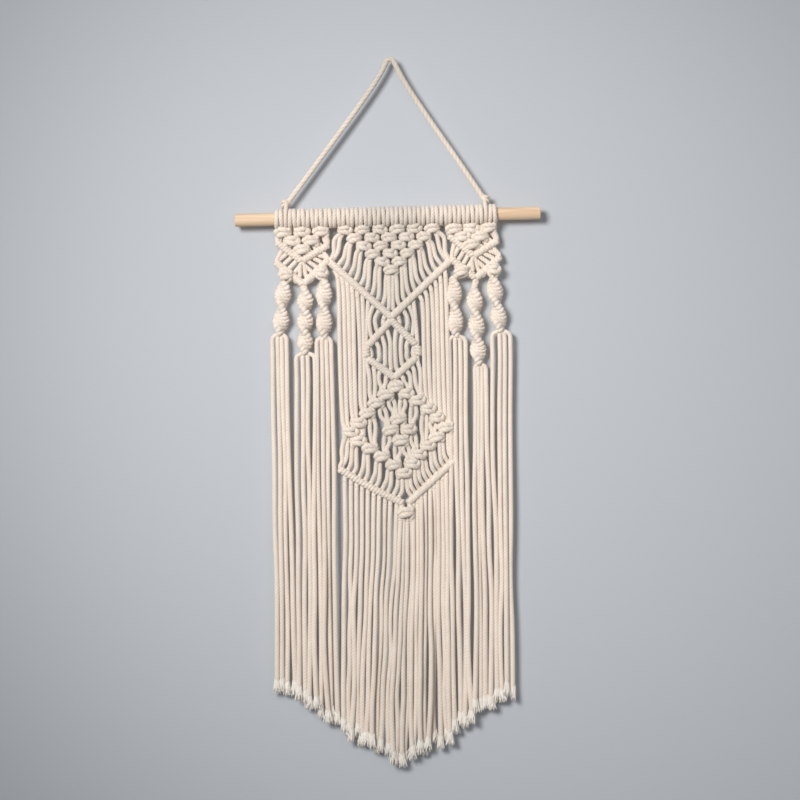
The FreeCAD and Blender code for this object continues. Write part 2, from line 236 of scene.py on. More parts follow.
# Lark's heads on the dowel.
for s in range(STRANDS):
    inward = 1.0 if s % 2 == 0 else -1.0
    larks_head(s, lane_x(strand_lane(s)), inward)

# ---- side panels ----------------------------------------

# Rows of square knots: the knots' X, and the row's Z.
LEFT_KNOTS = (((-111.1, -92.2, -73.2), -167.2), ((-102.4, -83.4), -176.0), ((-92.6,), -184.6))
RIGHT_KNOTS = (((59.9, 77.4, 94.4), -167.6), ((68.6, 86.0), -175.6), ((77.4,), -183.2))


def side_panel(first, knot_rows, upper, lower):
    """A triangle of square knots with two chevrons below it. upper and lower are (left, tip, right)."""
    for row_number, (centres, z) in enumerate(knot_rows):
        for k, x in enumerate(centres):
            start = first + 2 * row_number + 4 * k
            flip = (k + row_number) % 2 == 1
            square_knot(range(start, start + 4), x, z, 5.6, flip, 1.04, 2.9)
    inside = list(range(first + 1, first + 6))
    outside = list(range(first + 10, first + 5, -1))
    left, tip, right = upper
    hitch_row(first, left, (tip[0] - 0.5, tip[1]), inside)
    hitch_row(first + 11, right, (tip[0] + 0.5, tip[1]), outside)
    go(first, tip[0] + 2.4, 0.8, tip[1] - 5.0, HITCHED)
    go(first + 11, tip[0] - 2.4, -0.8, tip[1] - 5.0, HITCHED)
    left, tip, right = lower    # the leaders have crossed, and each row takes in the other side's leader
    hitch_row(first + 1, left, (tip[0] - 0.5, tip[1]), inside[1:] + [first + 11])
    hitch_row(first + 10, right, (tip[0] + 0.5, tip[1]), outside[1:] + [first])
    go(first + 1, tip[0] + 1.6, 0.8, tip[1] - 4.5, HITCHED)
    go(first + 10, tip[0] - 1.6, -1.2, tip[1] - 4.5, HITCHED)
    blob = {"half": 4.6, "scale": 1.05, "front": 2.4}
    square_knot(range(first + 2, first + 6), left[0] + 9.0, left[1] - 12.6, flip=False, **blob)
    square_knot(range(first + 6, first + 10), right[0] - 6.5, right[1] - 12.6, flip=True, **blob)


side_panel(0, LEFT_KNOTS,
           ((-117.0, -177.5), (-92.9, -195.6), (-66.8, -181.0)),
           ((-118.5, -197.5), (-92.4, -219.0), (-66.8, -196.0)))
side_panel(STRANDS - SIDE_STRANDS, RIGHT_KNOTS,
           ((55.8, -175.0), (79.0, -194.6), (102.9, -180.6)),
           ((57.2, -198.0), (80.6, -217.0), (105.3, -197.0)))

# ---- spiral sinnets and the fringe below them ----------------------------------------

# number: (cords, top of the sinnet, foot of the sinnet, swellings, hand of the spiral)
SINNETS = {
    1: ((2, 3, 4, 5), (-111.5, -216.0), (-116.8, -268.0), 2, 1),
    2: ((0, 11, 1, 10), (-90.5, -225.5), (-92.4, -287.5), 3, 1),
    3: ((6, 7, 8, 9), (-71.4, -215.5), (-72.7, -272.0), 2, 1),
    4: ((38, 39, 40, 41), (57.6, -217.0), (59.3, -274.0), 2, 1),
    5: ((36, 47, 37, 46), (78.4, -228.0), (81.7, -302.5), 3, 1),
    6: ((42, 43, 44, 45), (97.7, -217.5), (104.0, -270.0), 2, 1),
}
SWELL = 6.0                 # half width of a spiral's flat side
THICK = 1.3                 # how far its cords stand off the two inside it
HALF_KNOT = 3.3             # height of one half knot
SPIRAL_CORE = 2.3           # cord radius of the two cords inside a spiral
SLIM_END = 0.45             # width of a spiral's two ends, as a share of its full width

# X of each fringe cord just below its sinnet.
FRINGE_LANES = {
    1: (-124.6, -119.2, -115.2, -110.4),
    2: (-101.0, -94.8, -89.6, -82.6),
    3: (-80.2, -75.0, -70.6, -65.8),
    4: (52.4, 58.2, 63.4, 68.6),
    5: (77.6, 80.8, 84.2, 88.4),
    6: (95.6, 103.0, 108.0, 113.6),
}
# The cut ends of the side fringes hang evenly, from these places to the right.
LOW_LANES_LEFT = -126.5
LOW_LANES_RIGHT = 49.5
SIDE_PITCH = 5.25


def spiral_sinnet(cords, top, foot, swellings, hand):
    """Half knots of one hand: the two outer cords run round the two inner ones and the whole turns."""
    length = math.hypot(foot[0] - top[0], foot[1] - top[1])
    half_knots = round(length / HALF_KNOT)
    steps = half_knots * 4
    swing = hand * math.pi * swellings
    for step in range(steps + 1):
        share = step / steps
        turn = math.pi * step / 4
        facing = swing * share - hand * math.pi / 2
        cx = top[0] + share * (foot[0] - top[0])
        cz = top[1] + share * (foot[1] - top[1])
        end_taper = min(1.0, SLIM_END + 5.0 * share, SLIM_END + 5.0 * (1.0 - share))
        for s, side in ((cords[0], 1.0), (cords[3], -1.0)):
            across = side * math.cos(turn) * SWELL / NURBS_SHRINK * end_taper
            depth = -side * math.sin(turn) * THICK / NURBS_SHRINK
            x = cx + across * math.cos(facing) - depth * math.sin(facing)
            y = across * math.sin(facing) + depth * math.cos(facing)
            z = cz - 0.25 * math.sin(2 * turn)
            go(s, x, y, z, PLUMP + 0.15, 0.12)
        if step % 4 == 0:
            for s, side in ((cords[1], 1.2), (cords[2], -1.2)):
                go(s, cx + side * math.cos(facing), side * math.sin(facing), cz, SPIRAL_CORE)


CUT_MIDDLE = -2.0           # the cut edge is lowest here
CUT_LOWEST = -703.0
CUT_REACH = 122.0           # from the middle to the outer cords, which end CUT_RISE higher
CUT_RISE = 80.0


def fringe_end(x):
    """Height of the cut edge."""
    share = min(1.0, abs(x - CUT_MIDDLE) / CUT_REACH)
    return CUT_LOWEST + CUT_RISE * share ** 1.15


TIP_LENGTH = 11.0           # the frayed end of each cord
FLUFF = 0.35                # the cord opens a little towards its cut end


def hang(s, lane, low_lane, top_z, depth):
    """A fringe cord from top_z down to its cut end, wandering a little, from one lane into another."""
    end_z = fringe_end(low_lane) + rng.normal(0.0, 3.2) + TIP_LENGTH
    runs = 6
    for k in range(1, runs + 1):
        share = k / runs
        z = top_z + share * (end_z - top_z)
        wander = 1.2 * math.sqrt(share)
        x = lane + (low_lane - lane) * share ** 0.7 + rng.normal(0.0, wander)
        y = depth * min(1.0, 2 * share) + rng.normal(0.0, 0.8)
        go(s, x, y, z, FREE + FLUFF * share)


for number, (cords, top, foot, swellings, hand) in SINNETS.items():
    begin_section(cords, SPIRAL)
    spiral_sinnet(cords, top, foot, swellings, hand)
    begin_section(cords, SIDE_FRINGE)
    lanes = FRINGE_LANES[number]
    for k, s in enumerate(cords):
        aside = lanes[k] - foot[0]
        go(s, foot[0] + 0.35 * aside, rng.normal(0.0, 0.6), foot[1] - 1.5, KNOTTED)
        go(s, foot[0] + 1.02 * aside, rng.normal(0.0, 0.6), foot[1] - 3.6, FREE)
        go(s, lanes[k], rng.normal(0.0, 0.6), foot[1] - 13.0, FREE)
        hang_top = foot[1] - 30.0
        go(s, lanes[k], rng.normal(0.0, 0.6), hang_top, FREE)
        place = 4 * ((number - 1) % 3) + k
        first_lane = LOW_LANES_LEFT if number < 4 else LOW_LANES_RIGHT
        hang(s, lanes[k], first_lane + SIDE_PITCH * place, hang_top, rng.normal(0.0, 1.4))

# ---- centre panel ----------------------------------------

CENTRE_FIRST = SIDE_STRANDS
CENTRE_LAST = STRANDS - SIDE_STRANDS - 1
centre_strands = range(CENTRE_FIRST, CENTRE_LAST + 1)
LEFT_LEADER = CENTRE_FIRST
RIGHT_LEADER = CENTRE_LAST
HALFWAY = STRANDS // 2      # the first strand of the right half
MIDDLE_X = -5.5
CENTRE_PITCH = 17.4         # from knot to knot in a row
ROW_PITCH = 8.1             # from row to row
CENTRE_ROWS = 6

for row_number in range(CENTRE_ROWS):
    count = CENTRE_ROWS - row_number
    z = -166.6 - row_number * ROW_PITCH
    for k in range(count):
        x = MIDDLE_X + (k - (count - 1) / 2) * CENTRE_PITCH + 0.35 * row_number
        start = CENTRE_FIRST + 2 * row_number + 4 * k
        square_knot(range(start, start + 4), x, z, 5.1, (k + row_number) % 2 == 0)

left_half = list(range(LEFT_LEADER + 1, HALFWAY))
right_half = list(range(RIGHT_LEADER - 1, HALFWAY - 1, -1))
LONG_LEFT = (-64.5, -198.5)
LONG_RIGHT = (54.0, -200.5)
LONG_TIP = (-5.0, -254.5)
for number, (left_cord, right_cord) in enumerate(zip(left_half, right_half)):
    share = (number + 0.5) / len(left_half)
    for s, start, hand in ((left_cord, LONG_LEFT, -1.0), (right_cord, LONG_RIGHT, 1.0)):
        hitch_x = start[0] + share * (LONG_TIP[0] - start[0])
        hitch_z = start[1] + share * (LONG_TIP[1] - start[1])
        slant(s, hitch_x - hand * (2.2 - 1.2 * share), hitch_z + 8.0, -hand * rng.uniform(-0.2, 0.4))
drop(LEFT_LEADER, -60.6, -175.0, -190.0)
drop(RIGHT_LEADER, 50.2, -175.0, -191.0)
hitch_row(LEFT_LEADER, LONG_LEFT, LONG_TIP, left_half)
hitch_row(RIGHT_LEADER, LONG_RIGHT, LONG_TIP, right_half)
cross(LEFT_LEADER, RIGHT_LEADER, LONG_TIP[0], LONG_TIP[1] - 1.5)

begin_section(centre_strands, HEXAGON)

# Hexagon: the leaders part, go round an outer cord each, and meet again.
HEX_LEFT = [23, 22, 21, 20]
HEX_RIGHT = [24, 25, 26, 27]
HEX_CORDS = len(HEX_LEFT)
HEX_LEFT_X = -28.5          # the two side corners
HEX_RIGHT_X = 18.5
HEX_TOP = (-5.0, -257.5)
HEX_BOTTOM = (-3.4, -315.0)
HEX_FALL = 24.5             # from the top corner down to the side corners
HEX_RISE = 19.0             # from the bottom corner up to them


def hang_between(s, lane, bottom_z, bulge=0.0, clearance=9.0):
    """The cord hangs in its lane from where it is now to bottom_z, if there is room."""
    _x, _y, z, _radius, _section = routes[s][-1]
    if z - bottom_z > clearance:
        drop(s, lane, z - 0.3 * (z - bottom_z), bottom_z + 0.2 * (z - bottom_z), bulge)


for number in range(HEX_CORDS):
    share = (number + 0.5) / HEX_CORDS
    for s, hand in ((HEX_LEFT[number], -1.0), (HEX_RIGHT[number], 1.0)):
        lane = HEX_TOP[0] + hand * (0.8 + 23.8 * share)
        hang_between(s, lane, HEX_TOP[1] - HEX_FALL * share + 6.0, hand * 1.1)
hitch_row(RIGHT_LEADER, HEX_TOP, (HEX_LEFT_X, HEX_TOP[1] - HEX_FALL), HEX_LEFT)
hitch_row(LEFT_LEADER, HEX_TOP, (HEX_RIGHT_X, HEX_TOP[1] - HEX_FALL), HEX_RIGHT)
for number in range(HEX_CORDS):
    share = (number + 0.5) / HEX_CORDS
    for s, hand in ((HEX_LEFT[number], -1.0), (HEX_RIGHT[number], 1.0)):
        lane = 0.5 * (HEX_TOP[0] + HEX_BOTTOM[0]) + hand * (2.4 + 5.5 * number)
        hang_between(s, lane, HEX_BOTTOM[1] + HEX_RISE * share + 6.0, hand * rng.uniform(-0.4, 0.4))


def side_wrap(leader, post, x, z, side):
    """The leader winds three times round an upright cord, the post. side is -1 for the left corner."""
    orbit = 2.2 / NURBS_SHRINK
    turns = 3
    go(post, x, 0.4, z + 12.0, FREE)
    go(post, x, 0.0, z + 5.0, UNDER)
    go(post, x, 0.0, z - 5.0, UNDER)
    go(post, x, 0.4, z - 12.0, FREE)
    for step in range(STEPS * turns + 1):
        turn = step / STEPS
        go(leader, x - side * orbit * math.cos(2 * math.pi * turn), -orbit * math.sin(2 * math.pi * turn),
           z + 4.3 - 2.9 * turn, KNOTTED)


side_wrap(RIGHT_LEADER, 19, -31.0, -289.6, -1)
side_wrap(LEFT_LEADER, 28, 20.6, -289.2, 1)
hitch_row(RIGHT_LEADER, (HEX_LEFT_X, HEX_BOTTOM[1] + HEX_RISE), HEX_BOTTOM, HEX_LEFT[::-1])
hitch_row(LEFT_LEADER, (HEX_RIGHT_X, HEX_BOTTOM[1] + HEX_RISE), HEX_BOTTOM, HEX_RIGHT[::-1])

begin_section(centre_strands, DIAMOND)

# Diamond of square knots and the small diamond inside it. The leaders are its middle cords now.
MIDDLE = [23, RIGHT_LEADER, LEFT_LEADER, 24]
LEFT_CHAIN = [
    ([21, 22, 23, RIGHT_LEADER], (-12.0, -331.6)), ([19, 20, 21, 22], (-21.8, -339.9)),
    ([17, 18, 19, 20], (-30.9, -349.9)), ([15, 16, 17, 18], (-40.2, -359.4)),
    ([13, 14, 15, 16], (-48.4, -368.5)), ([15, 16, 17, 18], (-41.0, -377.7)),
    ([17, 18, 19, 20], (-29.2, -385.3)), ([19, 20, 21, 22], (-17.4, -393.4)),
]
RIGHT_CHAIN = [
    ([LEFT_LEADER, 24, 25, 26], (8.2, -331.2)), ([25, 26, 27, 28], (19.4, -338.4)),
    ([27, 28, 29, 30], (29.8, -347.2)), ([29, 30, 31, 32], (38.4, -356.2)),
    ([31, 32, 33, 34], (46.8, -365.9)), ([29, 30, 31, 32], (37.6, -375.4)),
    ([27, 28, 29, 30], (28.6, -383.8)), ([25, 26, 27, 28], (19.4, -392.2)),
]
INNER = [
    (MIDDLE, (-0.2, -356.7)), ([21, 22, 23, RIGHT_LEADER], (-8.2, -367.3)),
    ([LEFT_LEADER, 24, 25, 26], (9.8, -367.1)), (MIDDLE, (1.6, -377.8)),
]
CLOSING = [
    ([21, 22, 23, RIGHT_LEADER], (-6.0, -402.2)), ([LEFT_LEADER, 24, 25, 26], (12.6, -401.6)),
    (MIDDLE, (4.0, -410.6)),
]
diamond = [(MIDDLE, (-2.0, -324.6))] + LEFT_CHAIN + RIGHT_CHAIN + INNER + CLOSING
diamond.sort(key=lambda knot: -knot[1][1])
CENTRE_ROW = list(range(13, 24)) + [RIGHT_LEADER, LEFT_LEADER] + list(range(24, 35))    # left to right
MIDDLE_PLACE = 11.5         # between the two middle ones of 24 cords
DIAMOND_SHOULDER_Z = -345.0


def diamond_lane(s, z):
    """Where a cord hangs beside the diamond or inside it."""
    place = CENTRE_ROW.index(s) - MIDDLE_PLACE
    if z > DIAMOND_SHOULDER_Z and abs(place) > 4.5:
        return -3.0 + place * 4.66
    return -0.8 + place * 4.9


for number, (cords, (x, z)) in enumerate(diamond):
    for s in cords:
        _x, _y, last_z, _radius, _section = routes[s][-1]
        gap = last_z - z
        entry = x + (-4.6, -1.7, 1.7, 4.6)[cords.index(s)]
        inside = abs(CENTRE_ROW.index(s) - MIDDLE_PLACE) < 5.0 or last_z < DIAMOND_SHOULDER_Z
        if gap > 15.0 and inside:
            slant(s, entry, z + 8.0, (-2.2, 0.9, -0.9, 2.2)[cords.index(s)])
        elif gap > 17.0:
            drop(s, diamond_lane(s, last_z), last_z - 6.0, z + 10.0, rng.normal(0.0, 0.5))
    square_knot(cords, x, z, 5.4, number % 2 == 1, 1.05, 2.9, 0.8)

# Bottom chevron and the knot at its tip.
BOTTOM_LEFT = 13
BOTTOM_RIGHT = 34
TIP = (5.0, -447.5)
left_row = list(range(14, 24)) + [RIGHT_LEADER]
right_row = list(range(33, 23, -1)) + [LEFT_LEADER]
BOTTOM_START_LEFT = (-60.0, -405.5)
BOTTOM_START_RIGHT = (54.0, -400.0)
BOTTOM_TIP_Z = -440.5
for row, start, hand in ((left_row, BOTTOM_START_LEFT, -1.0), (right_row, BOTTOM_START_RIGHT, 1.0)):
    reach = abs(start[0] - TIP[0]) - 3.0
    for number, s in enumerate(row):
        share = (number + 0.5) / len(row)
        hitch_x = start[0] - hand * share * reach
        hitch_z = start[1] + share * (BOTTOM_TIP_Z - start[1])
        _x, _y, z, _radius, _section = routes[s][-1]
        if z - hitch_z > 15.0:
            slant(s, hitch_x - hand * 2.4, hitch_z + 9.0, -hand * rng.uniform(-0.3, 0.5))
drop(BOTTOM_LEFT, -57.0, -381.0, -397.0, -1.0)
drop(BOTTOM_RIGHT, 52.5, -378.0, -392.0, 1.0)
hitch_row(BOTTOM_LEFT, BOTTOM_START_LEFT, (TIP[0] - 3.0, BOTTOM_TIP_Z), left_row, 1.6)
hitch_row(BOTTOM_RIGHT, BOTTOM_START_RIGHT, (TIP[0] + 3.0, BOTTOM_TIP_Z), right_row)
TIP_CORDS = [BOTTOM_LEFT, RIGHT_LEADER, LEFT_LEADER, BOTTOM_RIGHT]
square_knot(TIP_CORDS, TIP[0], TIP[1] - 2.5, scale=1.2, plump=3.0, front=1.0)

# Fringe of the centre panel, in the order in which the cords leave the chevron.
CENTRE_ORDER = list(range(14, 24)) + TIP_CORDS + list(range(24, 34))
TIP_LANES = {BOTTOM_LEFT: -4.6, RIGHT_LEADER: -0.2, LEFT_LEADER: 4.4, BOTTOM_RIGHT: 8.6}
STEP_DOWN = 16.0            # the fringe settles into its lanes in steps of this height
centre_tops = {}            # cord: (x, z) where it leaves the knotwork
begin_section(CENTRE_ORDER, CENTRE_FRINGE)
for k, s in enumerate(CENTRE_ORDER):
    x, _y, z, _radius, _section = routes[s][-1]
    centre_tops[s] = (x, z)
    even_lane = -4.0 + (k - MIDDLE_PLACE) * 4.66
    lane = TIP_LANES.get(s, 0.72 * x + 0.28 * even_lane)
    depth = (2.2 if k % 2 else -1.5) + rng.normal(0.0, 1.2)
    go(s, x + 0.2 * (lane - x), 0.5 * depth, z - 0.5 * STEP_DOWN, FREE)
    go(s, x + 0.6 * (lane - x), depth, z - 2.0 * STEP_DOWN, FREE)
    go(s, lane, depth, z - 4.0 * STEP_DOWN, FREE)
    hang(s, lane, -7.6 + (k - MIDDLE_PLACE) * 4.8, z - 4.0 * STEP_DOWN, depth)

# ---- the hanger ----------------------------------------

HANGER_RADIUS = 2.65
HANGER_FOOT_Z = DOWEL_Z + 13.5
left_foot_x = lane_x(LEFT_LOOP_LANE)
right_foot_x = lane_x(RIGHT_LOOP_LANE)
HANGER_POINTS = (
    (left_foot_x, HANGER_FOOT_Z), (left_foot_x + 20.0, HANGER_FOOT_Z + 25.6),
    (-25.0, -34.0), (-6.4, -6.0), (-3.2, 3.4), (3.2, 3.4), (6.6, -6.0), (22.0, -34.0),
    (right_foot_x - 17.0, HANGER_FOOT_Z + 27.0), (right_foot_x, HANGER_FOOT_Z),
)
hanger_route = [(x, 0.0, z, HANGER_RADIUS, 0) for x, z in HANGER_POINTS]


def hanger_loop(x, side):
    """The hanger's end goes once round the dowel and is knotted on itself just above it."""
    points = []
    orbit = WRAP_ORBIT / NURBS_SHRINK
    rise = HANGER_FOOT_Z
    for px, py, pz in ((0.0, 0.0, 5.0), (side * 1.2, -2.6, 1.6), (side * 0.6, -3.2, -1.6)):
        points.append((x + px, py, rise + pz, 2.2, 0))
    for degrees in range(60, 331, 45):
        angle = math.radians(degrees)
        points.append((x, -orbit * math.sin(angle), DOWEL_Z + orbit * math.cos(angle), 2.0, 0))
    for px, py, pz in (
        (-side * 0.4, 3.0, -2.6), (-side * 2.8, 1.0, -1.4), (-side * 2.6, -2.6, 0.2), (side * 1.0, -4.0, 1.2),
        (side * 3.2, -1.0, 1.8), (side * 2.2, 2.8, 2.4), (-side * 1.8, 2.8, 3.0), (-side * 3.2, -0.6, 3.6),
        (-side * 1.2, -3.6, 3.8), (side * 2.0, -2.6, 3.2), (side * 2.6, 0.4, 1.6),
    ):
        points.append((x + px, py, rise + pz, 1.7, 0))
    return points


# ---- from control points to centrelines ----------------------------------------

def evaluate(all_points):
    """Centrelines of NURBS splines through lists of (x, y, z, radius, section)."""
    curve = bpy.data.curves.new("routes", "CURVE")
    curve.dimensions = "3D"
    curve.resolution_u = 6
    for points in all_points:
        places = [(x * MM, y * MM, z * MM, 1.0) for x, y, z, _radius, _section in points]
        facts = [(radius * MM, part, 0.0, 1.0) for _x, _y, _z, radius, part in points]
        for values in (places, facts):
            spline = curve.splines.new("NURBS")
            spline.points.add(len(values) - 1)
            for point, value in zip(spline.points, values):
                point.co = value
            spline.order_u = 3
            spline.use_endpoint_u = True
    holder = bpy.data.objects.new("routes", curve)
    mesh = bpy.data.meshes.new_from_object(holder)
    co = np.empty(len(mesh.vertices) * 3)
    mesh.vertices.foreach_get("co", co)
    co = co.reshape(-1, 3)
    joined = np.empty(len(mesh.edges) * 2, int)
    mesh.edges.foreach_get("vertices", joined)
    joined = joined.reshape(-1, 2)
    linked = np.zeros(len(co), bool)
    linked[joined.min(axis=1)] = True
    breaks = np.flatnonzero(~linked) + 1
    pieces = np.split(co, breaks[:-1])
    bpy.data.meshes.remove(mesh)
    bpy.data.objects.remove(holder)
    bpy.data.curves.remove(curve)
    return [(pieces[k], pieces[k + 1]) for k in range(0, len(pieces), 2)]


def resample(line, facts, spacing):
    """Even spacing along the centreline."""
    steps = np.linalg.norm(np.diff(line, axis=0), axis=1)
    travelled = np.concatenate([[0.0], np.cumsum(steps)])
    count = max(3, int(round(travelled[-1] / spacing)) + 1)
    stations = np.linspace(0.0, travelled[-1], count)
    new_line = np.stack([np.interp(stations, travelled, line[:, k]) for k in range(3)], axis=1)
    new_facts = np.stack([np.interp(stations, travelled, facts[:, k]) for k in range(2)], axis=1)
    return new_line, new_facts, stations


# ---- twisted cord mesh ----------------------------------------

PLIES = 3
PLY_DEPTH = 0.075           # depth of the grooves between plies, as a share of the radius
LAY = 9.6 * MM              # length of cord in which a ply goes round once
RING = 15                   # points round a cord


def painted_centre_shade(places):
    """Painted shade: cotton near the middle of the panel is painted a little greyer and darker; the wraps
    round the middle of the dowel are greyer still.
    """
    x = places[:, 0] / MM + 3.0
    z = places[:, 2] / MM
    across = np.exp(-(x / 34.0) ** 2)
    below = np.clip((z + 480.0) / 120.0, 0.35, 1.0)
    wrapped = np.exp(-(x / 22.0) ** 4) * (z > -165.0)
    return 1.2 * across * below + 0.5 * wrapped


class CordMesh:
    """Collects tubes for one mesh object."""

    def __init__(self):
        self.verts = []
        self.quads = []
        self.tris = []
        self.fibre = []
        self.tone = []
        self.painted_groove_shade = []
        self.count = 0

    def tube(self, line, radii, along, lay=LAY, ring=RING, grooves=PLY_DEPTH, phase=0.0, tone=0.0):
        """A closed tube along a line; along is the distance travelled, for the twist and the fibres."""
        n = len(line)
        tangent = np.gradient(line, axis=0)
        tangent /= np.linalg.norm(tangent, axis=1)[:, None] + 1e-12
        side = np.zeros((n, 3))
        start = np.array([0.0, 1.0, 0.0])
        if abs(tangent[0] @ start) > 0.9:
            start = np.array([1.0, 0.0, 0.0])
        current = start - tangent[0] * (start @ tangent[0])
        current /= np.linalg.norm(current)
        side[0] = current
        for k in range(1, n):
            current = current - tangent[k] * (current @ tangent[k])
            current /= np.linalg.norm(current)
            side[k] = current
        other = np.cross(tangent, side)
        angle = np.linspace(0.0, 2 * math.pi, ring, endpoint=False)[None, :]
        twist = 2 * math.pi * along[:, None] / lay + phase
        lobes = np.cos(PLIES * (angle - twist))
        reach = radii[:, None] * (1.0 + grooves * (lobes - 0.3))
        points = line[:, None, :]
        points = points + side[:, None, :] * (reach * np.cos(angle))[:, :, None]
        points = points + other[:, None, :] * (reach * np.sin(angle))[:, :, None]
        turned = angle - twist
        fibre = np.stack([
            reach * np.cos(turned),
            reach * np.sin(turned),
            np.broadcast_to(along[:, None], reach.shape),
        ], axis=2)
        base = self.count + np.arange(n - 1)[:, None] * ring
        a = np.arange(ring)[None, :]
        b = (np.arange(ring)[None, :] + 1) % ring
        quads = np.stack([base + a, base + b, base + ring + b, base + ring + a], axis=2)
        self.verts.append(points.reshape(-1, 3))
        self.fibre.append(fibre.reshape(-1, 3))
        self.tone.append(np.full(n * ring + 2, tone))
        # Painted shade: 1 in the grooves between the plies, 0 on their crests; the material darkens the
        # cotton there.
        self.painted_groove_shade.append((0.5 - 0.5 * lobes).reshape(-1) * (grooves > 0.0))
        self.painted_groove_shade.append(np.zeros(2))
        self.quads.append(quads.reshape(-1, 4))
        first = self.count
        self.count += n * ring
        turn = np.arange(ring)
        for row, order in ((0, -1), (n - 1, 1)):
            rim = first + row * ring
            fan = np.stack([rim + turn, rim + (turn + 1) % ring, np.full(ring, self.count)], axis=1)
            self.tris.append(fan[:, ::order])
            self.verts.append(line[row][None, :])
            self.fibre.append(np.array([[0.0, 0.0, along[row]]]))
            self.count += 1

    def build(self, name, material):
        """The mesh object of all the tubes so far."""
        verts = np.concatenate(self.verts)
        quads = np.concatenate(self.quads)
        tris = np.concatenate(self.tris) if self.tris else np.empty((0, 3), int)
        mesh = bpy.data.meshes.new(name)
        mesh.vertices.add(len(verts))
        mesh.vertices.foreach_set("co", verts.astype(np.float32).ravel())
        corners = np.concatenate([quads.ravel(), tris.ravel()]).astype(np.int32)
        starts = np.concatenate([
            np.arange(len(quads)) * 4,
            len(quads) * 4 + np.arange(len(tris)) * 3,
        ]).astype(np.int32)
        mesh.loops.add(len(corners))
        mesh.loops.foreach_set("vertex_index", corners)
        mesh.polygons.add(len(starts))
        mesh.polygons.foreach_set("loop_start", starts)
        mesh.update(calc_edges=True)
        mesh.polygons.foreach_set("use_smooth", np.ones(len(starts), bool))
        fibre = mesh.attributes.new("fibre", "FLOAT_VECTOR", "POINT")
        fibre.data.foreach_set("vector", np.concatenate(self.fibre).astype(np.float32).ravel())
        tone = mesh.attributes.new("tone", "FLOAT", "POINT")
        # The tone attribute holds painted shade across the middle of the panel plus each cord's own random
        # greyness.
        tone_and_painted_shade = painted_centre_shade(verts) + np.concatenate(self.tone)
        tone.data.foreach_set("value", tone_and_painted_shade.astype(np.float32))
        # Painted shade in the ply grooves, read by the cotton material.
        painted_groove_shade = mesh.attributes.new("painted_groove_shade", "FLOAT", "POINT")
        painted_groove_shade.data.foreach_set("value", np.concatenate(self.painted_groove_shade).astype(np.float32))
        mesh.materials.append(material)
        mesh.validate()
        obj = bpy.data.objects.new(name, mesh)
        bpy.context.scene.collection.objects.link(obj)
        return obj


# ---- materials ----------------------------------------

BUMP_DISTANCE = 0.0003


def new_material(name):
    material = bpy.data.materials.new(name)
    material.use_nodes = True
    nodes = material.node_tree.nodes
    shader = nodes["Principled BSDF"]
    return material, nodes, material.node_tree.links, shader


def attribute(nodes, name, output):
    """A value that CordMesh stores at each vertex."""
    node = nodes.new("ShaderNodeAttribute")
    node.attribute_name = name
    return node.outputs[output]


def stretched(nodes, links, vector, scale):
    node = nodes.new("ShaderNodeMapping")
    node.inputs["Scale"].default_value = scale
    links.new(vector, node.inputs["Vector"])
    return node.outputs["Vector"]


def noise(nodes, links, vector, scale, detail=2.0, distortion=0.0):
    node = nodes.new("ShaderNodeTexNoise")
    node.inputs["Scale"].default_value = scale
    node.inputs["Detail"].default_value = detail
    node.inputs["Distortion"].default_value = distortion
    links.new(vector, node.inputs["Vector"])
    return node.outputs["Fac"]


def ramp(nodes, links, value, low, high, low_colour=(0.0, 0.0, 0.0), high_colour=(1.0, 1.0, 1.0)):
    """A colour between two colours, as value goes from low to high."""
    node = nodes.new("ShaderNodeValToRGB")
    for element, place, colour in zip(node.color_ramp.elements, (low, high), (low_colour, high_colour)):
        element.position = place
        element.color = (*colour, 1.0)
    links.new(value, node.inputs["Fac"])
    return node.outputs["Color"]


def ranged(nodes, links, value, low, high, lowest=0.0):
    """Value from low to high, as a number from lowest to 1."""
    node = nodes.new("ShaderNodeMapRange")
    node.inputs["From Min"].default_value = low
    node.inputs["From Max"].default_value = high
    node.inputs["To Min"].default_value = lowest
    links.new(value, node.inputs["Value"])
    return node.outputs["Result"]


def mixed(nodes, blend_type="MIX"):
    node = nodes.new("ShaderNodeMix")
    node.data_type = "RGBA"
    node.blend_type = blend_type
    return node


def tinted(nodes, links, colour, share, tint):
    """The colour multiplied by a tint, as far as share says."""
    node = mixed(nodes, "MULTIPLY")
    node.inputs["B"].default_value = (*tint, 1.0)
    links.new(colour, node.inputs["A"])
    links.new(share, node.inputs["Factor"])
    return node.outputs["Result"]


def roughened(nodes, links, shader, height, strength):
    node = nodes.new("ShaderNodeBump")
    node.inputs["Strength"].default_value = strength
    node.inputs["Distance"].default_value = BUMP_DISTANCE
    links.new(height, node.inputs["Height"])
    links.new(node.outputs["Normal"], shader.inputs["Normal"])


